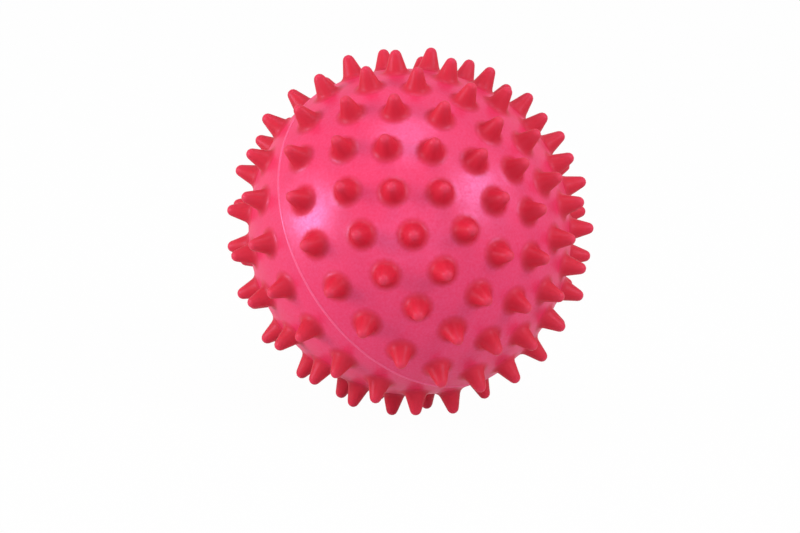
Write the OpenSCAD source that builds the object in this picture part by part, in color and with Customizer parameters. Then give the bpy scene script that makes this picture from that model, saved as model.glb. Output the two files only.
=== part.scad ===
// Spiky sensory ball: two soft moulded halves welded at a seam, with an air valve and its pull-out plug

/* [Ball] */
// Diameter of each half's curve, between the spikes
ball_d = 90; // [70:1:140]
// How far each half's centre of curve lies past the seam, which makes the ball a little short
half_drop = 2; // [0.5:0.1:4]
// Wall of the two halves
wall = 2.2; // [1.6:0.1:4]

/* [Spikes] */
// Height of a spike above the ball
spike_h = 6.2; // [4:0.1:10]
// Width of a spike where the line of its flank meets the ball
spike_d = 6.2; // [5:0.1:8]
// Radius of a spike's domed tip
tip_r = 1.6; // [1:0.1:2.2]
// Radius of the hollow curve at a spike's root
root_r = 1.5; // [0.8:0.1:2]
// Distance between neighbouring spikes
spike_pitch = 12.3; // [11:0.1:20]
// Distance from the seam to the nearest ring of spikes
rim_clear = 8.2; // [6:0.1:14]

/* [Seam] */
// Width of the weld bead
bead_w = 0.9; // [0.6:0.05:1.4]
// Height of the weld bead above the ball
bead_h = 0.25; // [0.1:0.05:0.3]

/* [Valve] */
// Diameter of the valve's neck in the wall
neck_d = 9; // [8:0.1:11]
// Diameter of the lip outside the wall
lip_d = 13; // [12:0.1:15]
// Height of the lip's dome above the ball
lip_h = 1; // [0.7:0.1:1.6]
// Thickness of the lip at its edge
lip_edge = 0.35; // [0.2:0.05:0.6]
// Diameter of the flange inside the wall
flange_d = 15; // [12:0.1:18]
// Thickness of the flange at its edge
flange_h = 1.4; // [0.8:0.1:3]
// Diameter of the valve's stem inside the ball
stem_d = 6.4; // [5.5:0.1:7.5]
// Length of the stem past the flange
stem_l = 7; // [4:0.1:12]

/* [Plug] */
// Diameter of the plug's pin
pin_d = 3; // [2:0.1:4]
// Length of the pin under the head
pin_l = 9; // [6:0.1:9.5]
// Diameter of the plug's head
head_d = 6.4; // [5.4:0.1:7]
// Thickness of the head at its edge
head_h = 1.4; // [1:0.1:1.8]
// Height of the head's dome above its edge
head_rise = 0.5; // [0.3:0.1:0.8]
// Running gap around the plug
plug_gap = 0.05; // [0.02:0.01:0.1]

/* [Hidden] */
// Gap between pieces that are pressed or welded together
seat_gap = 0.02;
// Overrun of every cut
over = 1;
// Last gap before the seam's ring of spikes, as a share of the other gaps
last_gap_share = 1.12;
// Turn of each ring of spikes, from the pole outwards, as shares of that ring's own step
front_turn_shares = [0.25, 0.35, 0.07, 0.75, 0.05];
back_turn_shares = [0.25, 0.35, 0.33, 0.83, 0.50];
// The three spikes of the back half that the ball rests on, as ring and place on that ring
rest_spikes = [[4, 9], [4, 10], [3, 8]];
// Heading of the front pole, seen from above
pole_heading = -43.6;
// Crease where the flank of a spike meets its dome and its root curve
crease = 8;
// Slope at which the root curve runs out into the ball
root_end = 22;
// Depth of a spike's foot in the wall, as a share of the wall
foot_share = 0.6;
// Chamfer at the end of the plug's pin, as a share of the pin
pin_chamfer_share = 0.2;
$fn = 64;

ball_r = ball_d / 2;
inner_r = ball_r - wall;

// Rings of spikes, counted from the pole of a half and measured at its centre of curve
deg_per_len = 180 / (PI * ball_r);
seam_angle = acos(half_drop / ball_r);
last_ring_angle = seam_angle - rim_clear * deg_per_len;
ring_count = max(1, round(last_ring_angle / (spike_pitch * deg_per_len)));
ring_gap = last_ring_angle / (ring_count - 1 + last_gap_share);
function ring_angle(k) = k == ring_count ? last_ring_angle : k * ring_gap;
function ring_spikes(k) = max(1, round(2 * PI * ball_r * sin(ring_angle(k)) / spike_pitch));
function spike_turn(k, i, shares) = (shares[(k - 1) % len(shares)] + i) * 360 / ring_spikes(k);

// Spike outline: a dome, a straight flank and a hollow root curve, on a foot in the wall
tip_z = spike_h - tip_r;
foot_r = spike_d / 2;
foot_z = -wall * foot_share;
tip_reach = tip_r * cos(crease);
flank = acos(tip_reach / norm([foot_r, tip_z])) - atan2(tip_z, foot_r);
flank_top = [tip_reach * cos(flank), tip_z + tip_reach * sin(flank)];
// The root curve's centre, beside the flank and over the ball's surface, which falls away from the spike
root_side = foot_r + root_r * cos(crease) / cos(flank);
root_sag = ball_r - sqrt(ball_r * ball_r - root_side * root_side);
root_z = root_r * cos(root_end) - root_sag;
root_x = root_side - root_z * tan(flank);
flank_at_root = foot_r - root_z * tan(flank);

// Lay of the ball on its three resting spikes
function dome_centre(k, i) =
    let (a = ring_angle(k), t = spike_turn(k, i, back_turn_shares), r = ball_r + tip_z)
    [r * sin(a) * cos(t), r * sin(a) * sin(t), half_drop - r * cos(a)];
function unit(v) = v / norm(v);
back_domes = [
    for (k = [1 : ring_count])
        for (i = [0 : ring_spikes(k) - 1])
            dome_centre(k, i)
];
rest_domes = [for (s = rest_spikes) dome_centre(s[0], s[1])];
rest_cross = unit(cross(rest_domes[1] - rest_domes[0], rest_domes[2] - rest_domes[0]));
rest_down = rest_cross * sign(rest_cross * rest_domes[0]);
rest_height = max([for (p = back_domes) p * rest_down]) + tip_r;
tilt_axis = unit(cross(rest_down, [0, 0, -1]));
tilt = acos(-rest_down.z);
tilted_pole = [0, 0, 1] * cos(tilt) + cross(tilt_axis, [0, 0, 1]) * sin(tilt);

// Weld bead, a round cord let into the seam
seam_r = sqrt(ball_r * ball_r - half_drop * half_drop);
bead_r = (bead_w * bead_w / 4 + bead_h * bead_h) / (2 * bead_h);
bead_ring_r = seam_r + bead_h - bead_r;

// Valve heights, measured from the back half's centre of curve
lip_r = lip_d / 2;
lip_top_z = ball_r + lip_h;
lip_edge_z = sqrt(ball_r * ball_r - lip_r * lip_r) + lip_edge;
lip_rise = lip_top_z - lip_edge_z;
lip_dome_r = (lip_r * lip_r + lip_rise * lip_rise) / (2 * lip_rise);
flange_z = sqrt(inner_r * inner_r - flange_d * flange_d / 4) - flange_h;
stem_z = flange_z - stem_l;
head_seat_z = lip_top_z - head_rise - head_h;
head_r = head_d / 2;
head_dome_r = (head_r * head_r + head_rise * head_rise) / (2 * head_rise);
pin_r = pin_d / 2;
pin_chamfer = pin_d * pin_chamfer_share;

module lay() {
    translate([0, 0, rest_height])
        rotate([0, 0, pole_heading - atan2(tilted_pole.y, tilted_pole.x)])
            rotate(a = tilt, v = tilt_axis)
                children();
}

// Put a half that is drawn about its centre of curve, pole up, on the front or on the back
module on_front() {
    translate([0, 0, -half_drop]) children();
}

module on_back() {
    mirror([0, 0, 1]) on_front() children();
}

module spike_outline() {
    difference() {
        union() {
            polygon([
                [0, foot_z],
                [root_x, foot_z],
                [root_x, root_z],
                [flank_at_root, root_z],
                flank_top,
                [0, tip_z]
            ]);
            intersection() {
                translate([0, tip_z]) circle(tip_r);
                square([tip_r, spike_h]);
            }
        }
        translate([root_x, root_z]) circle(root_r);
    }
}

module spike() {
    translate([0, 0, ball_r])
        rotate_extrude()
            spike_outline();
}

module spike_ring(k, shares) {
    for (i = [0 : ring_spikes(k) - 1])
        rotate([0, ring_angle(k), spike_turn(k, i, shares)])
            spike();
}

module bead_cord(r) {
    rotate_extrude()
        translate([bead_ring_r, 0])
            circle(r);
}

module half_wall() {
    difference() {
        sphere(ball_r);
        sphere(inner_r);
        translate([0, 0, half_drop - ball_d])
            cylinder(r = ball_r + over, h = ball_d);
        translate([0, 0, half_drop])
            bead_cord(bead_r + seat_gap);
    }
}

module front_shell() {
    color("#dd3b64")
        lay()
            on_front() {
                half_wall();
                spike();
                for (k = [1 : ring_count])
                    spike_ring(k, front_turn_shares);
            }
}

module back_shell() {
    color("#d8365f")
        lay()
            on_back() {
                difference() {
                    half_wall();
                    translate([0, 0, flange_z])
                        cylinder(d = neck_d + 2 * seat_gap, h = ball_r - flange_z + over);
                }
                for (k = [1 : ring_count])
                    spike_ring(k, back_turn_shares);
            }
}

module seam_bead() {
    color("#f35d85")
        lay()
            bead_cord(bead_r);
}

module valve_lip() {
    difference() {
        intersection() {
            translate([0, 0, lip_top_z - lip_dome_r])
                sphere(lip_dome_r);
            translate([0, 0, flange_z])
                cylinder(r = lip_r, h = lip_top_z - flange_z + over);
        }
        sphere(ball_r + seat_gap);
    }
}

module valve_flange() {
    intersection() {
        sphere(inner_r - seat_gap);
        translate([0, 0, flange_z])
            cylinder(d = flange_d, h = ball_r);
    }
}

// Grommet: a domed lip outside the wall, a neck through it, a flange and a stem inside
module valve_body() {
    color("#c52d50")
        lay()
            on_back()
                difference() {
                    union() {
                        valve_lip();
                        valve_flange();
                        translate([0, 0, flange_z])
                            cylinder(d = neck_d, h = ball_r - flange_z);
                        translate([0, 0, stem_z])
                            cylinder(d = stem_d, h = stem_l + flange_h);
                    }
                    translate([0, 0, stem_z - over])
                        cylinder(d = pin_d + 2 * plug_gap, h = ball_r);
                    translate([0, 0, head_seat_z])
                        cylinder(d = head_d + 2 * plug_gap, h = head_h + head_rise + over);
                }
}

module plug_head() {
    intersection() {
        cylinder(r = head_r, h = head_h + head_rise);
        translate([0, 0, head_h + head_rise - head_dome_r])
            sphere(head_dome_r);
    }
}

module plug_pin() {
    rotate_extrude()
        polygon([
            [0, -pin_l],
            [pin_r - pin_chamfer, -pin_l],
            [pin_r, pin_chamfer - pin_l],
            [pin_r, head_h / 2],
            [0, head_h / 2]
        ]);
}

module valve_plug() {
    color("#e8527a")
        lay()
            on_back()
                translate([0, 0, head_seat_z + plug_gap]) {
                    plug_head();
                    plug_pin();
                }
}

front_shell();
back_shell();
seam_bead();
valve_body();
valve_plug();
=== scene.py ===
from math import acos, atan2, cos, hypot, pi, radians, sin, sqrt, tan

import bmesh
import bpy
from mathutils import Matrix, Vector
from mathutils.geometry import delaunay_2d_cdt


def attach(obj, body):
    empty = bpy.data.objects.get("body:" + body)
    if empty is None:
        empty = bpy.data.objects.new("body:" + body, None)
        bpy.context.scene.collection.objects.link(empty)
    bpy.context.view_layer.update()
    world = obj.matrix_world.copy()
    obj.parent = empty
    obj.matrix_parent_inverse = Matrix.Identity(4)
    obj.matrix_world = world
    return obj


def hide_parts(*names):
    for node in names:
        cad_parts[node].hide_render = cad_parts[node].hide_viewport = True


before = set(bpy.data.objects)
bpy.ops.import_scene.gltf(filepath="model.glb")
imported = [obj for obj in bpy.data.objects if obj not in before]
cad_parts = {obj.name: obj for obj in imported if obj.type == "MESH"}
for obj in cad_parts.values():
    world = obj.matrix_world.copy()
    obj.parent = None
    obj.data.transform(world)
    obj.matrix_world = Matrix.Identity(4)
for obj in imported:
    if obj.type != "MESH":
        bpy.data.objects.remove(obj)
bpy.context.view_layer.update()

mm = 0.001


# a colour as it is seen on a screen, made linear for the shaders
def screenColour(red, green, blue):
    def linear(value):
        share = value / 255
        return share / 12.92 if share <= 0.04045 else ((share + 0.055) / 1.055) ** 2.4
    return (linear(red), linear(green), linear(blue), 1.0)


# a socket that takes part in sums, in shader trees and geometry trees alike
class Wire:
    def __init__(self, tree, socket=None):
        self.tree = tree
        self.socket = socket

    def node(self, kind, settings=None, sockets=None, out=0):
        made = self.tree.nodes.new(kind)
        for name, value in (settings or {}).items():
            setattr(made, name, value)
        for key, value in (sockets or {}).items():
            for part in value if isinstance(value, list) else [value]:
                if isinstance(part, Wire):
                    self.tree.links.new(part.socket, made.inputs[key])
                else:
                    made.inputs[key].default_value = part
        return Wire(self.tree, made.outputs[out] if made.outputs else None)

    def also(self, out):
        return Wire(self.tree, self.socket.node.outputs[out])

    def sum(self, operation, first, second=0.0):
        return self.node("ShaderNodeMath", {"operation": operation}, {0: first, 1: second})

    def __add__(self, other):
        return self.sum("ADD", self, other)

    def __radd__(self, other):
        return self.sum("ADD", other, self)

    def __sub__(self, other):
        return self.sum("SUBTRACT", self, other)

    def __rsub__(self, other):
        return self.sum("SUBTRACT", other, self)

    def __mul__(self, other):
        return self.sum("MULTIPLY", self, other)

    def __rmul__(self, other):
        return self.sum("MULTIPLY", other, self)

    def sine(self):
        return self.sum("SINE", self)

    def cosine(self):
        return self.sum("COSINE", self)

    # how far this value has come from one end of a span to the other, kept between 0 and 1
    def spanned(self, low, high, smooth=False):
        style = "SMOOTHSTEP" if smooth else "LINEAR"
        return self.node("ShaderNodeMapRange", {"interpolation_type": style, "clamp": True},
                         {"Value": self, "From Min": low, "From Max": high})


# Ball and spikes

ball = {
    "radius": 45 * mm,          # each half's curve, between the spikes
    "halfDrop": 2 * mm,         # each half's centre of curve lies this far past the seam
    "wall": 2.2 * mm,
    "poleHeading": -43.6,       # degrees, seen from above
    "skinSpacing": 1.7 * mm,    # of the filling points on the outside
    "skinSteps": 6,             # times that the icosphere of filling points is divided
    "innerSpacing": 4.5 * mm,
    "innerSteps": 5,
    "rimShare": 0.7,            # filling points stay this share of their spacing off the rim
    "loopShare": 0.55,          # and this share off the loops inside it
    "rimPoints": 180,
    "sameSpot": 1e-9,
}

spikes = {
    "height": 6.2 * mm,
    "footRadius": 3.1 * mm,
    "tipRadius": 1.6 * mm,
    "rootRadius": 1.9 * mm,
    "pitch": 12.3 * mm,
    "rimClear": 8.2 * mm,
    "lastGapShare": 1.12,
    "frontTurns": [0.25, 0.35, 0.07, 0.75, 0.05],
    "backTurns": [0.25, 0.35, 0.33, 0.83, 0.50],
    "restOn": [(4, 9), (4, 10), (3, 8)],
    "segments": 14,
    "rows": 9,
    "domeEnd": 0.375,           # share of the rows on the dome
    "flankEnd": 0.625,          # share of the rows down to the root curve
    "halo": 1.3 * mm,           # band of skin around a root over which the root's painted shade fades into the skin
    "skinMark": 1.35,           # downSpike on the skin, where a root has 1
    "weld": 0.001 * mm,
}


# the rings of a half, as an angle from the pole and a number of spikes
def spikeRings():
    perLength = 1 / ball["radius"]
    last = acos(ball["halfDrop"] * perLength) - spikes["rimClear"] * perLength
    count = round(last / (spikes["pitch"] * perLength))
    gap = last / (count - 1 + spikes["lastGapShare"])
    angles = [gap * k for k in range(1, count)] + [last]
    return [(a, round(2 * pi * ball["radius"] * sin(a) / spikes["pitch"])) for a in angles]


rings = spikeRings()


# the turn that lays the mould's axis on the ball's three resting spikes, and the height of its middle
def restingLay():
    reach = ball["radius"] + spikes["height"] - spikes["tipRadius"]

    def domeCentre(ring, place):
        angle, count = rings[ring - 1]
        turn = (spikes["backTurns"][ring - 1] + place) * 2 * pi / count
        return Vector((reach * sin(angle) * cos(turn), reach * sin(angle) * sin(turn),
                       ball["halfDrop"] - reach * cos(angle)))

    domes = [domeCentre(ring, place) for ring, place in spikes["restOn"]]
    down = (domes[1] - domes[0]).cross(domes[2] - domes[0]).normalized()
    if down.dot(domes[0]) < 0:
        down = -down
    tip = Matrix.Rotation(acos(-down.z), 3, down.cross(Vector((0, 0, -1))).normalized())
    pole = tip @ Vector((0, 0, 1))
    heading = Matrix.Rotation(radians(ball["poleHeading"]) - atan2(pole.y, pole.x), 3, "Z")
    return heading @ tip, domes[0].dot(down) + spikes["tipRadius"]


layTurn, restHeight = restingLay()
layMatrix = Matrix.Translation((0, 0, restHeight)) @ layTurn.to_4x4()
frontMatrix = layMatrix @ Matrix.Translation((0, 0, -ball["halfDrop"]))
backMatrix = layMatrix @ Matrix.Diagonal((1, 1, -1, 1)) @ Matrix.Translation((0, 0, -ball["halfDrop"]))
print("lay: middle at", round(restHeight * 1000, 2), "mm, pole", [round(v, 4) for v in layTurn.col[2]])


# the numbers of a spike's outline: dome, straight flank, and a root curve that runs out into the ball
def spikeOutline():
    tipZ = spikes["height"] - spikes["tipRadius"]
    foot, tip, root = spikes["footRadius"], spikes["tipRadius"], spikes["rootRadius"]
    slope = acos(tip / hypot(foot, tipZ)) - atan2(tipZ, foot)
    out = Vector((cos(slope), sin(slope)))
    along = Vector((-sin(slope), cos(slope)))
    start = out * (foot * cos(slope) + root) + Vector((0, ball["radius"]))
    halfB = start.dot(along)
    s = -halfB + sqrt(halfB ** 2 - start.dot(start) + (ball["radius"] + root) ** 2)
    centre = start + along * s
    flankTop = Vector((0, tipZ)) + out * tip
    flankEnd = centre - out * root - Vector((0, ball["radius"]))
    return {
        "Dome Angle": pi / 2 - slope,
        "Tip Height": tipZ,
        "Flank Run": flankEnd.x - flankTop.x,
        "Flank Drop": flankEnd.y - flankTop.y,
        "Root Start": pi + slope,
        "Root Turn": pi / 2 - slope - atan2(centre.x, centre.y),
    }


def geometryTree(name, inputs):
    tree = bpy.data.node_groups.new(name, "GeometryNodeTree")
    tree.interface.new_socket("Geometry", in_out="OUTPUT", socket_type="NodeSocketGeometry")
    kinds = {float: "NodeSocketFloat", int: "NodeSocketInt", bpy.types.Material: "NodeSocketMaterial"}
    for label, value in inputs.items():
        tree.interface.new_socket(label, in_out="INPUT", socket_type=kinds[type(value)])
    entry = Wire(tree).node("NodeGroupInput")
    return tree, {label: entry.also(label) for label in inputs}


# runs a tree with its inputs and gives the result as a plain mesh
def grownMesh(tree, last, inputs):
    Wire(tree).node("NodeGroupOutput", None, {0: last})
    holder = bpy.data.objects.new(tree.name, bpy.data.meshes.new(tree.name))
    bpy.context.scene.collection.objects.link(holder)
    modifier = holder.modifiers.new("grow", "NODES")
    modifier.node_group = tree
    for item in tree.interface.items_tree:
        if item.in_out == "INPUT":
            modifier[item.identifier] = inputs[item.name]
    ready = holder.evaluated_get(bpy.context.evaluated_depsgraph_get())
    mesh = bpy.data.meshes.new_from_object(ready)
    bpy.data.objects.remove(holder)
    return mesh


# all the spikes of one half about its centre of curve, pole up, each open at its root
def spikeMesh(name, turns, onPole, material):
    inputs = {
        "Ball Radius": ball["radius"],
        "Tip Radius": spikes["tipRadius"],
        "Root Radius": spikes["rootRadius"],
        "Segments": spikes["segments"],
        "Rows": spikes["rows"],
        **spikeOutline(),
        "Material": material,
    }
    tree, given = geometryTree(name, inputs)
    start = Wire(tree)

    # one spike, rolled up from a flat grid
    grid = start.node("GeometryNodeMeshGrid", None, {
        "Size X": 1.0, "Size Y": 1.0, "Vertices X": given["Segments"] + 1, "Vertices Y": given["Rows"]})
    flat = start.node("ShaderNodeSeparateXYZ", None, {0: start.node("GeometryNodeInputPosition")})
    turn = (flat + 0.5) * (2 * pi)
    down = flat.also("Y") + 0.5
    domeAngle = down.spanned(0.0, spikes["domeEnd"]) * given["Dome Angle"]
    flank = down.spanned(spikes["domeEnd"], spikes["flankEnd"])
    rootAngle = given["Root Start"] + down.spanned(spikes["flankEnd"], 1.0) * given["Root Turn"]
    reach = domeAngle.sine() * given["Tip Radius"] + flank * given["Flank Run"]
    reach = reach + (rootAngle.cosine() - given["Root Start"].cosine()) * given["Root Radius"]
    height = given["Tip Height"] + domeAngle.cosine() * given["Tip Radius"] + flank * given["Flank Drop"]
    height = height + (rootAngle.sine() - given["Root Start"].sine()) * given["Root Radius"]
    place = start.node("ShaderNodeCombineXYZ", None, {
        "X": reach * turn.cosine(), "Y": reach * turn.sine(), "Z": height})
    marked = start.node("GeometryNodeStoreNamedAttribute", {"data_type": "FLOAT", "domain": "POINT"}, {
        "Geometry": grid, "Name": "downSpike", "Value": down})
    rolled = start.node("GeometryNodeSetPosition", None, {"Geometry": marked, "Position": place})
    spike = start.node("GeometryNodeMergeByDistance", None, {"Geometry": rolled, "Distance": spikes["weld"]})

    # the rings of places
    places = []
    if onPole:
        pole = start.node("ShaderNodeCombineXYZ", None, {"Z": given["Ball Radius"]})
        places.append(start.node("GeometryNodeMeshLine", None, {"Count": 1, "Start Location": pole}))
    for (angle, count), share in zip(rings, turns):
        circle = start.node("GeometryNodeMeshCircle", None, {
            "Vertices": count, "Radius": given["Ball Radius"] * sin(angle)})
        lift = start.node("ShaderNodeCombineXYZ", None, {"Z": given["Ball Radius"] * cos(angle)})
        places.append(start.node("GeometryNodeTransform", None, {
            "Geometry": circle, "Translation": lift, "Rotation": (0.0, 0.0, share * 2 * pi / count)}))
    joined = start.node("GeometryNodeJoinGeometry", None, {0: places})
    lean = start.node("FunctionNodeAlignRotationToVector", {"axis": "Z"}, {
        "Vector": start.node("GeometryNodeInputPosition")})
    stood = start.node("GeometryNodeInstanceOnPoints", None, {
        "Points": joined, "Instance": spike, "Rotation": lean})
    real = start.node("GeometryNodeRealizeInstances", None, {0: stood})
    return grownMesh(tree, start.node("GeometryNodeSetMaterial", None, {
        "Geometry": real, "Material": given["Material"]}), inputs)


# Halves

# fills a round cap with a skin between its rim loop and the loops inside it, all on one sphere
def fillCap(bm, radius, rim, loops, spacing, steps, awayFrom):
    corners = rim + [v for loop in loops for v in loop]
    owner = [0] * len(rim) + [i + 1 for i, loop in enumerate(loops) for v in loop]
    edges, first = [], 0
    for loop in [rim] + loops:
        edges += [(first + i, first + (i + 1) % len(loop)) for i in range(len(loop))]
        first += len(loop)

    lowest = max(v.co.z for v in rim) + spacing * ball["rimShare"]
    clear = spacing * ball["loopShare"]
    filler = bmesh.new()
    bmesh.ops.create_icosphere(filler, subdivisions=steps, radius=radius)
    for v in filler.verts:
        if v.co.z > lowest and all((v.co - p).length > gap + clear for p, gap in awayFrom):
            corners.append(bm.verts.new(v.co))
            owner.append(-1)
    filler.free()

    # seen from the far pole, the sphere becomes a flat disc and its circles stay circles
    def flattened(co):
        u = co / radius
        return Vector((u.x / (1 + u.z), u.y / (1 + u.z)))

    flatCorners = [flattened(v.co) for v in corners]
    _, _, faces, source, _, _ = delaunay_2d_cdt(flatCorners, edges, [], 0, ball["sameSpot"])
    for face in faces:
        ids = [source[i][0] for i in face]
        owners = {owner[i] for i in ids}
        if len(owners) > 1 or owners.pop() <= 0:
            bm.faces.new([corners[i] for i in ids])


def circleLoop(bm, radius, height, count):
    return [bm.verts.new((radius * cos(2 * pi * i / count), radius * sin(2 * pi * i / count), height))
            for i in range(count)]


def bridgeLoops(bm, upper, lower):
    for i in range(len(upper)):
        j = (i + 1) % len(upper)
        bm.faces.new((upper[i], lower[i], lower[j], upper[j]))


# the open edges of a mesh, each run of them as one loop of corners
def openLoops(bm):
    left = {e for e in bm.edges if e.is_boundary}
    loops = []
    while left:
        edge = left.pop()
        loop = [edge.verts[0], edge.verts[1]]
        while True:
            step = next((e for e in loop[-1].link_edges if e in left), None)
            if step is None:
                break
            left.discard(step)
            loop.append(step.other_vert(loop[-1]))
        loops.append(loop[:-1] if loop[0] is loop[-1] else loop)
    return loops


def loopAxis(loop):
    return sum((v.co for v in loop), Vector()).normalized()


# a band of skin around the root of a spike, across which the root's painted shade fades out; gives back its outer
# loop
def rootHalo(bm, loop, radius):
    axis = loopAxis(loop)
    outer = []
    for v in loop:
        side = (v.co - axis * v.co.dot(axis)).normalized()
        angle = axis.angle(v.co) + spikes["halo"] / radius
        outer.append(bm.verts.new((axis * cos(angle) + side * sin(angle)) * radius))
    bridgeLoops(bm, loop, outer)
    return outer


# one half: outer skin grown round the roots of its spikes, turned in at the seam, with an inner wall
def makeHalf(name, turns, matrix, material, hole=None):
    bm = bmesh.new()
    bm.from_mesh(spikeMesh(name + "Spikes", turns, hole is None, material))
    down = bm.verts.layers.float["downSpike"]
    loops = openLoops(bm)
    spikeCorners = set(bm.verts)
    radius, inner = ball["radius"], ball["radius"] - ball["wall"]

    edgeZ = ball["halfDrop"] + seam["width"] / 2
    edge = circleLoop(bm, sqrt(radius ** 2 - edgeZ ** 2), edgeZ, ball["rimPoints"])
    loops = [rootHalo(bm, loop, radius) for loop in loops]
    away = [(loopAxis(loop) * radius, (loop[0].co - loopAxis(loop) * radius).length) for loop in loops]
    innerLoops, innerAway = [], []
    if hole:
        neck = hole["neckRadius"]
        neckTop = circleLoop(bm, neck, sqrt(radius ** 2 - neck ** 2), hole["segments"])
        neckEnd = circleLoop(bm, neck, sqrt(inner ** 2 - neck ** 2), hole["segments"])
        bridgeLoops(bm, neckTop, neckEnd)
        loops.append(neckTop)
        away.append((Vector((0, 0, radius)), neck))
        innerLoops.append(neckEnd)
        innerAway.append((Vector((0, 0, inner)), neck))
    fillCap(bm, radius, edge, loops, ball["skinSpacing"], ball["skinSteps"], away)

    # the seam's groove and flat
    grooveR = sqrt(radius ** 2 - ball["halfDrop"] ** 2) - seam["depth"]
    bendR = grooveR + seam["depth"] * seam["bendUpShare"]
    groove = circleLoop(bm, bendR, ball["halfDrop"] + seam["width"] * seam["bendOutShare"], len(edge))
    flatZ = ball["halfDrop"] + seam["gap"]
    flat = circleLoop(bm, grooveR, flatZ, len(edge))
    innerEdge = circleLoop(bm, sqrt(inner ** 2 - flatZ ** 2), flatZ, len(edge))
    for upper, lower in ((edge, groove), (groove, flat), (flat, innerEdge)):
        bridgeLoops(bm, upper, lower)
        for i in range(len(upper)):
            bm.edges.get((upper[i - 1], upper[i])).smooth = False
    fillCap(bm, inner, innerEdge, innerLoops, ball["innerSpacing"], ball["innerSteps"], innerAway)

    for v in bm.verts:
        if v not in spikeCorners:
            v[down] = spikes["skinMark"]
    bm.transform(matrix)
    opened = sum(not e.is_manifold for e in bm.edges)
    print(name, len(bm.faces), "faces,", opened, "open edges")
    return finished(name, bm, material)


# a closed mesh with its faces outwards, as a piece of the scene
def finished(name, bm, material):
    bmesh.ops.recalc_face_normals(bm, faces=bm.faces)
    if bm.calc_volume(signed=True) < 0:
        bmesh.ops.reverse_faces(bm, faces=bm.faces)
    mesh = bpy.data.meshes.new(name)
    for face in bm.faces:
        face.smooth = True
    bm.to_mesh(mesh)
    bm.free()
    mesh.materials.clear()
    mesh.materials.append(material)
    piece = bpy.data.objects.new(name, mesh)
    bpy.context.scene.collection.objects.link(piece)
    return piece


# Seam

seam = {
    "width": 0.75 * mm,
    "rise": 0.2 * mm,
    "depth": 0.75 * mm,         # groove under the bead
    "bendUpShare": 0.35,        # bend of the groove's side, as shares of its depth and the bead's width
    "bendOutShare": 0.4,
    "gap": 0.02 * mm,
    "segments": 360,
    "sides": 12,
    "waver": 0.04,              # share of the bead's thickness
    "waves": 160.0,             # to the metre
}


def makeBead(name, material):
    cord = (seam["width"] ** 2 / 4 + seam["rise"] ** 2) / (2 * seam["rise"])
    seamR = sqrt(ball["radius"] ** 2 - ball["halfDrop"] ** 2)
    inputs = {
        "Ring Radius": seamR + seam["rise"] - cord,
        "Cord Radius": cord,
        "Waver": seam["waver"],
        "Segments": seam["segments"],
        "Sides": seam["sides"],
        "Material": material,
    }
    tree, given = geometryTree(name, inputs)
    start = Wire(tree)
    ring = start.node("GeometryNodeCurvePrimitiveCircle", {"mode": "RADIUS"}, {
        "Resolution": given["Segments"], "Radius": given["Ring Radius"]})
    profile = start.node("GeometryNodeCurvePrimitiveCircle", {"mode": "RADIUS"}, {
        "Resolution": given["Sides"], "Radius": given["Cord Radius"]})
    noise = start.node("ShaderNodeTexNoise", None, {"Scale": seam["waves"], "Detail": 1.0})
    scale = 1.0 + (noise - 0.5) * given["Waver"]
    swept = start.node("GeometryNodeCurveToMesh", None, {"Curve": ring, "Profile Curve": profile, "Scale": scale})
    real = start.node("GeometryNodeRealizeInstances", None, {0: swept})
    mesh = grownMesh(tree, start.node("GeometryNodeSetMaterial", None, {
        "Geometry": real, "Material": given["Material"]}), inputs)
    bm = bmesh.new()
    bm.from_mesh(mesh)
    bm.transform(layMatrix)
    return finished(name, bm, material)


# Valve

valve = {
    "neckRadius": 4.52 * mm,
    "lipRadius": 6.5 * mm,
    "lipRise": 1.0 * mm,
    "lipEdge": 0.35 * mm,
    "flangeRadius": 7.5 * mm,
    "flangeThick": 1.4 * mm,
    "stemRadius": 3.2 * mm,
    "stemLength": 7.0 * mm,
    "seat": 0.02 * mm,
    "underLip": 0.4 * mm,       # width of the flat under the lip's edge
    "mouthRound": 0.12 * mm,
    "lipRound": 0.25 * mm,
    "flangeRound": 0.3 * mm,
    "stemRootRound": 0.5 * mm,
    "stemRound": 0.3 * mm,
    "boreRound": 0.15 * mm,
    "domeSteps": 5,
    "arcSteps": 3,
    "segments": 56,
}

plug = {
    "pinRadius": 1.5 * mm,
    "pinLength": 9.0 * mm,
    "headRadius": 3.2 * mm,
    "headThick": 1.4 * mm,
    "headRise": 0.5 * mm,
    "gap": 0.05 * mm,
    "chamfer": 0.6 * mm,
    "headRound": 0.3 * mm,
    "seatRound": 0.12 * mm,
    "pinRootRound": 0.2 * mm,
    "chamferRound": 0.3 * mm,
    "endRound": 0.2 * mm,
    "domeSteps": 6,
    "segments": 48,
}


onAxis = 1e-7
longestCut = 0.49               # of a side of an outline that one corner's rounding may take


# rounds every corner of an outline that has a radius given
def softOutline(points, steps=4):
    result = []
    for i, (x, z, r) in enumerate(points):
        here = Vector((x, z))
        if r == 0:
            result.append(here)
            continue
        before = Vector(points[i - 1][:2]) - here
        after = Vector(points[(i + 1) % len(points)][:2]) - here
        bend = before.angle(after)
        cut = min(r / tan(bend / 2), before.length * longestCut, after.length * longestCut)
        a, b = here + before.normalized() * cut, here + after.normalized() * cut
        for k in range(steps + 1):
            t = k / steps
            result.append(a * (1 - t) ** 2 + here * 2 * t * (1 - t) + b * t ** 2)
    return result


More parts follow.
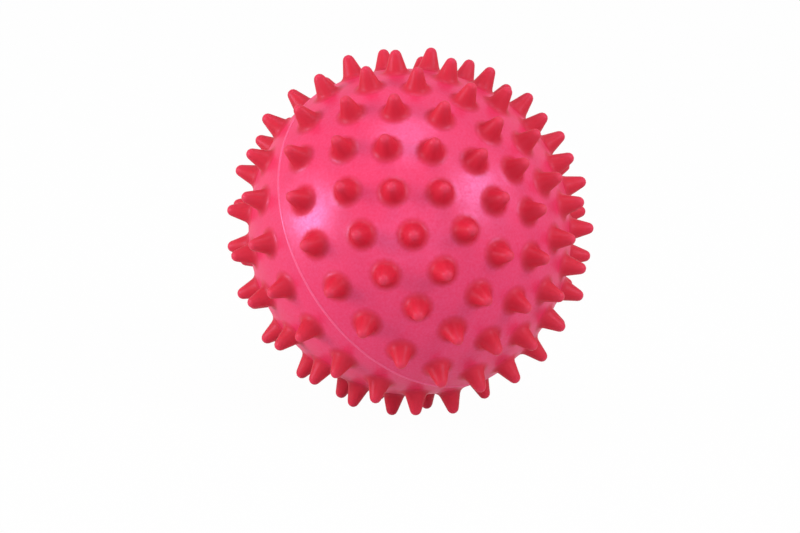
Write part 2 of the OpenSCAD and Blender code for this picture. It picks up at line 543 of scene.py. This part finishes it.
# turns an outline about the valve's axis; the outline runs from axis to axis, or closes on itself
def turned(name, outline, segments, matrix, material, closed):
    bm = bmesh.new()
    rows = []
    for point in outline:
        rows.append([bm.verts.new((0, 0, point.y))] if point.x < onAxis
                    else circleLoop(bm, point.x, point.y, segments))
    pairs = list(zip(rows, rows[1:] + rows[:1])) if closed else list(zip(rows, rows[1:]))
    for upper, lower in pairs:
        for i in range(segments):
            j = (i + 1) % segments
            ring = [upper[i % len(upper)], lower[i % len(lower)], lower[j % len(lower)], upper[j % len(upper)]]
            bm.faces.new(list(dict.fromkeys(ring)))
    bm.transform(matrix)
    return finished(name, bm, material)


# an arc of a sphere about the half's centre of curve, seen as an outline
def sphereArc(radius, fromR, toR, steps):
    return [(r, sqrt(radius ** 2 - r ** 2), 0)
            for r in (fromR + (toR - fromR) * k / steps for k in range(steps + 1))]


lipTop = ball["radius"] + valve["lipRise"]
headSeat = lipTop - plug["headRise"] - plug["headThick"]


def makeValve(name, material):
    outerR, innerR = ball["radius"] + valve["seat"], ball["radius"] - ball["wall"] - valve["seat"]
    neck = valve["neckRadius"] - valve["seat"]
    lipEdgeZ = sqrt(ball["radius"] ** 2 - valve["lipRadius"] ** 2) + valve["lipEdge"]
    lipRise = lipTop - lipEdgeZ
    domeR = (valve["lipRadius"] ** 2 + lipRise ** 2) / (2 * lipRise)
    flangeZ = sqrt((ball["radius"] - ball["wall"]) ** 2 - valve["flangeRadius"] ** 2) - valve["flangeThick"]
    stemZ = flangeZ - valve["stemLength"]
    headBore, pinBore = plug["headRadius"] + plug["gap"], plug["pinRadius"] + plug["gap"]
    mouthZ = lipTop - domeR + sqrt(domeR ** 2 - headBore ** 2)
    steps = valve["domeSteps"]
    dome = [(r, lipTop - domeR + sqrt(domeR ** 2 - r ** 2), 0)
            for r in (headBore + (valve["lipRadius"] - headBore) * k / steps for k in range(1, steps))]
    outline = [(headBore, headSeat, 0), (headBore, mouthZ, valve["mouthRound"])] + dome
    outline += [(valve["lipRadius"], lipEdgeZ, valve["lipRound"]),
                (valve["lipRadius"], sqrt(outerR ** 2 - valve["lipRadius"] ** 2), 0)]
    outline += sphereArc(outerR, valve["lipRadius"] - valve["underLip"], neck, valve["arcSteps"])
    outline += sphereArc(innerR, neck, valve["flangeRadius"], valve["arcSteps"])
    outline += [(valve["flangeRadius"], flangeZ, valve["flangeRound"]),
                (valve["stemRadius"], flangeZ, valve["stemRootRound"]),
                (valve["stemRadius"], stemZ, valve["stemRound"]),
                (pinBore, stemZ, valve["boreRound"]),
                (pinBore, headSeat, 0)]
    return turned(name, softOutline(outline), valve["segments"], backMatrix, material, True)


def makePlug(name, material):
    seat = headSeat + plug["gap"]
    rise, head = plug["headRise"], plug["headRadius"]
    domeR = (head ** 2 + rise ** 2) / (2 * rise)
    top = seat + plug["headThick"] + rise
    pin, end, steps = plug["pinRadius"], seat - plug["pinLength"], plug["domeSteps"]
    dome = [(r, top - domeR + sqrt(domeR ** 2 - r ** 2), 0) for r in (head * k / steps for k in range(steps))]
    outline = dome + [(head, top - rise, plug["headRound"]),
                      (head, seat, plug["seatRound"]),
                      (pin, seat, plug["pinRootRound"]),
                      (pin, end + plug["chamfer"], plug["chamferRound"]),
                      (pin - plug["chamfer"], end, plug["endRound"]),
                      (0, end, 0)]
    return turned(name, softOutline(outline), plug["segments"], backMatrix, material, False)


# Vinyl

vinyl = {
    # the skin's pink is partly its own colour and partly a painted reflection of the pearl sheen, which the
    # redder spikes lack
    "skin": screenColour(225, 40, 87),
    # painted shade: the dark red ring at the roots of the spikes, also laid on the band of skin round them
    "root": screenColour(199, 27, 57),
    "spike": screenColour(204, 26, 52),
    # painted light: the paler domes at the tips of the spikes
    "tip": screenColour(216, 48, 80),
    "bead": screenColour(236, 80, 120),
    "valve": screenColour(204, 40, 76),
    "plug": screenColour(214, 52, 88),
    "pearl": screenColour(226, 176, 255),
    "pearlShare": 0.065,         # how much of the surface is pearl pigment
    "spikePearl": 0.1,          # share of that left on the spikes
    "roughness": 0.55,
    "pearlRoughness": 0.3,
    "roughSwing": 0.1,          # change of roughness from cloud to cloud
    "flakes": 1500.0,           # pearl flakes to the metre
    "cloud": 55.0,
    "flakeShare": 0.8,
    "cloudShare": 0.05,
    "bumpStrength": 0.06,
    "bumpDepth": 0.05 * mm,
    "ior": 1.45,
    "specular": 0.3,
    "onSpike": (0.74, 1.2),     # spans of downSpike over which each colour gives way to the next
    # where the painted light of the tips fades out down the dome
    "atTipLight": (0.0, 0.6),
    # where the painted shade of the roots comes in, down the lower flank and root curve
    "atRootShade": (0.45, 0.8),
}


def vinylMaterial(name, colour, spikeColour=None, paintedTipLight=None):
    material = bpy.data.materials.new(name)
    material.use_nodes = True
    material.node_tree.nodes.clear()
    start = Wire(material.node_tree)
    where = start.node("ShaderNodeTexCoord", None, None, "Object")
    flakes = start.node("ShaderNodeTexNoise", None, {"Vector": where, "Scale": vinyl["flakes"], "Detail": 1.0})
    cloud = start.node("ShaderNodeTexNoise", None, {"Vector": where, "Scale": vinyl["cloud"], "Detail": 3.0})

    def mixed(share, first, second, blend="MIX"):
        return start.node("ShaderNodeMix", {"data_type": "RGBA", "blend_type": blend},
                          {0: share, 6: first, 7: second}, 2)

    # pink skin, its pink partly a painted reflection of the pearl, and redder spikes, with painted shade at the
    # roots and on the skin round them and painted light on the paler tips; the pearl thins out on the spikes
    shade = colour
    pearlShare = vinyl["pearlShare"] * (1.0 + (flakes - 0.5) * (2 * vinyl["flakeShare"]))
    if spikeColour:
        down = start.node("ShaderNodeAttribute", {"attribute_name": "downSpike"}, None, "Fac")
        onSpike = 1.0 - down.spanned(*vinyl["onSpike"], True)
        atTipLight = 1.0 - down.spanned(*vinyl["atTipLight"], True)
        atRootShade = down.spanned(*vinyl["atRootShade"], True)
        spike = mixed(atTipLight, mixed(atRootShade, spikeColour, vinyl["root"]), paintedTipLight)
        shade = mixed(onSpike, colour, spike)
        pearlShare = pearlShare * (1.0 - onSpike * (1 - vinyl["spikePearl"]))
    light = 1.0 + (cloud - 0.5) * (2 * vinyl["cloudShare"])
    tint = start.node("ShaderNodeCombineColor", None, {0: light, 1: light, 2: light})
    bump = start.node("ShaderNodeBump", None, {
        "Strength": vinyl["bumpStrength"], "Distance": vinyl["bumpDepth"], "Height": flakes})
    body = start.node("ShaderNodeBsdfPrincipled", None, {
        "Base Color": mixed(1.0, shade, tint, "MULTIPLY"),
        "Roughness": vinyl["roughness"] + (cloud - 0.5) * vinyl["roughSwing"],
        "Normal": bump,
        "IOR": vinyl["ior"],
        "Specular IOR Level": vinyl["specular"],
    })
    pearl = start.node("ShaderNodeBsdfPrincipled", None, {
        "Base Color": vinyl["pearl"],
        "Metallic": 1.0,
        "Roughness": vinyl["pearlRoughness"],
        "Normal": bump,
    })
    both = start.node("ShaderNodeMixShader", None, {0: pearlShare, 1: body, 2: pearl})
    start.node("ShaderNodeOutputMaterial", None, {"Surface": both})
    return material


skinVinyl = vinylMaterial("pearlVinyl", vinyl["skin"], vinyl["spike"], vinyl["tip"])
beadVinyl = vinylMaterial("seamVinyl", vinyl["bead"])
valveVinyl = vinylMaterial("valveVinyl", vinyl["valve"])
plugVinyl = vinylMaterial("plugVinyl", vinyl["plug"])

print("growing the halves")
frontHalf = makeHalf("frontHalf", spikes["frontTurns"], frontMatrix, skinVinyl)
backHalf = makeHalf("backHalf", spikes["backTurns"], backMatrix, skinVinyl, valve)
print("turning the seam bead, the valve and its plug")
seamBead = makeBead("seamBead", beadVinyl)
valveGrommet = makeValve("valveGrommet", valveVinyl)
valvePlug = makePlug("valvePlug", plugVinyl)

for piece, node, body, slot in (
        (frontHalf, "front_shell", "ball", "shell"),
        (backHalf, "back_shell", "ball", "shell"),
        (seamBead, "seam_bead", "ball", "seam"),
        (valveGrommet, "valve_body", "ball", "valve"),
        (valvePlug, "valve_plug", "plug", "plug")):
    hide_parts(node)
    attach(piece, body)


# Studio

studio = {
    "floorColour": (0.72, 0.72, 0.72, 1.0),
    "floorSize": 12.0,
    "floorWhite": 0.98,         # share of white that the camera sees on the floor
    "world": 0.46,
    "lamps": [                  # place, size in metres, power in watts
        ((-0.93, -0.33, 0.22), 0.5, 5.7),
        ((0.71, -0.36, 0.66), 0.55, 3.9),
        ((-0.1, -0.2, 1.3), 0.75, 4.3),
        ((0.1, -1.9, 0.35), 1.6, 6.0),
    ],
}


# 1 for rays that show the background itself, straight or mirrored, and 0 for those that only light the ball
def seenRay(start):
    path = start.node("ShaderNodeLightPath")
    mirrored = path.sum("MAXIMUM", path.also("Is Glossy Ray"), path.also("Is Transmission Ray"))
    return path.sum("MAXIMUM", path.also("Is Camera Ray"), mirrored)


def makeStudio():
    scene = bpy.context.scene
    mesh = bpy.data.meshes.new("floor")
    half = studio["floorSize"] / 2
    corners = [(-half, -half, 0), (half, -half, 0), (half, half, 0), (-half, half, 0)]
    mesh.from_pydata(corners, [], [(0, 1, 2, 3)])
    floor = bpy.data.objects.new("floor", mesh)
    scene.collection.objects.link(floor)
    material = bpy.data.materials.new("paleFloor")
    material.use_nodes = True
    material.node_tree.nodes.clear()
    start = Wire(material.node_tree)
    seen = seenRay(start) * studio["floorWhite"]
    matt = start.node("ShaderNodeBsdfDiffuse", None, {"Color": studio["floorColour"]})
    white = start.node("ShaderNodeEmission", None, {"Color": (1.0, 1.0, 1.0, 1.0), "Strength": 1.0})
    both = start.node("ShaderNodeMixShader", None, {0: seen, 1: matt, 2: white})
    start.node("ShaderNodeOutputMaterial", None, {"Surface": both})
    mesh.materials.append(material)

    world = bpy.data.worlds.new("studioWorld")
    scene.world = world
    world.use_nodes = True
    world.node_tree.nodes.clear()
    start = Wire(world.node_tree)
    strength = seenRay(start) * (1.0 - studio["world"]) + studio["world"]
    sky = start.node("ShaderNodeBackground", None, {"Color": (1.0, 1.0, 1.0, 1.0), "Strength": strength})
    start.node("ShaderNodeOutputWorld", None, {"Surface": sky})

    middle = Vector((0, 0, restHeight))
    for i, (place, size, power) in enumerate(studio["lamps"]):
        lamp = bpy.data.lights.new("softbox%d" % i, "AREA")
        lamp.shape = "DISK"
        lamp.size = size
        lamp.energy = power
        holder = bpy.data.objects.new(lamp.name, lamp)
        holder.location = place
        holder.rotation_euler = (middle - Vector(place)).to_track_quat("-Z", "Y").to_euler()
        scene.collection.objects.link(holder)
    scene.view_settings.view_transform = "Standard"


makeStudio()


# Camera

view = {
    "elevation": 13.26,
    "roll": 5.6,                # the camera's tilt about its own line of sight
    "distance": 1.08,
    "focusPixels": 3980.0,      # distance of the picture plane, in pixels of the 800 wide picture
    "pictureWidth": 800,
    "sensorWidth": 36.0,
    "middleAt": (10.0, 35.0),   # ball's middle, right of and above the picture's centre
}


def makeCamera():
    data = bpy.data.cameras.new("camera")
    data.sensor_fit = "HORIZONTAL"
    data.sensor_width = view["sensorWidth"]
    data.lens = view["focusPixels"] * data.sensor_width / view["pictureWidth"]
    data.shift_x = -view["middleAt"][0] / view["pictureWidth"]
    data.shift_y = -view["middleAt"][1] / view["pictureWidth"]
    camera = bpy.data.objects.new("camera", data)
    rise = radians(view["elevation"])
    back = Vector((0, -cos(rise), sin(rise)))
    aim = Matrix.Rotation(pi / 2 - rise, 4, "X") @ Matrix.Rotation(radians(view["roll"]), 4, "Z")
    camera.matrix_world = Matrix.Translation(Vector((0, 0, restHeight)) + back * view["distance"]) @ aim
    bpy.context.scene.collection.objects.link(camera)
    bpy.context.scene.camera = camera


makeCamera()
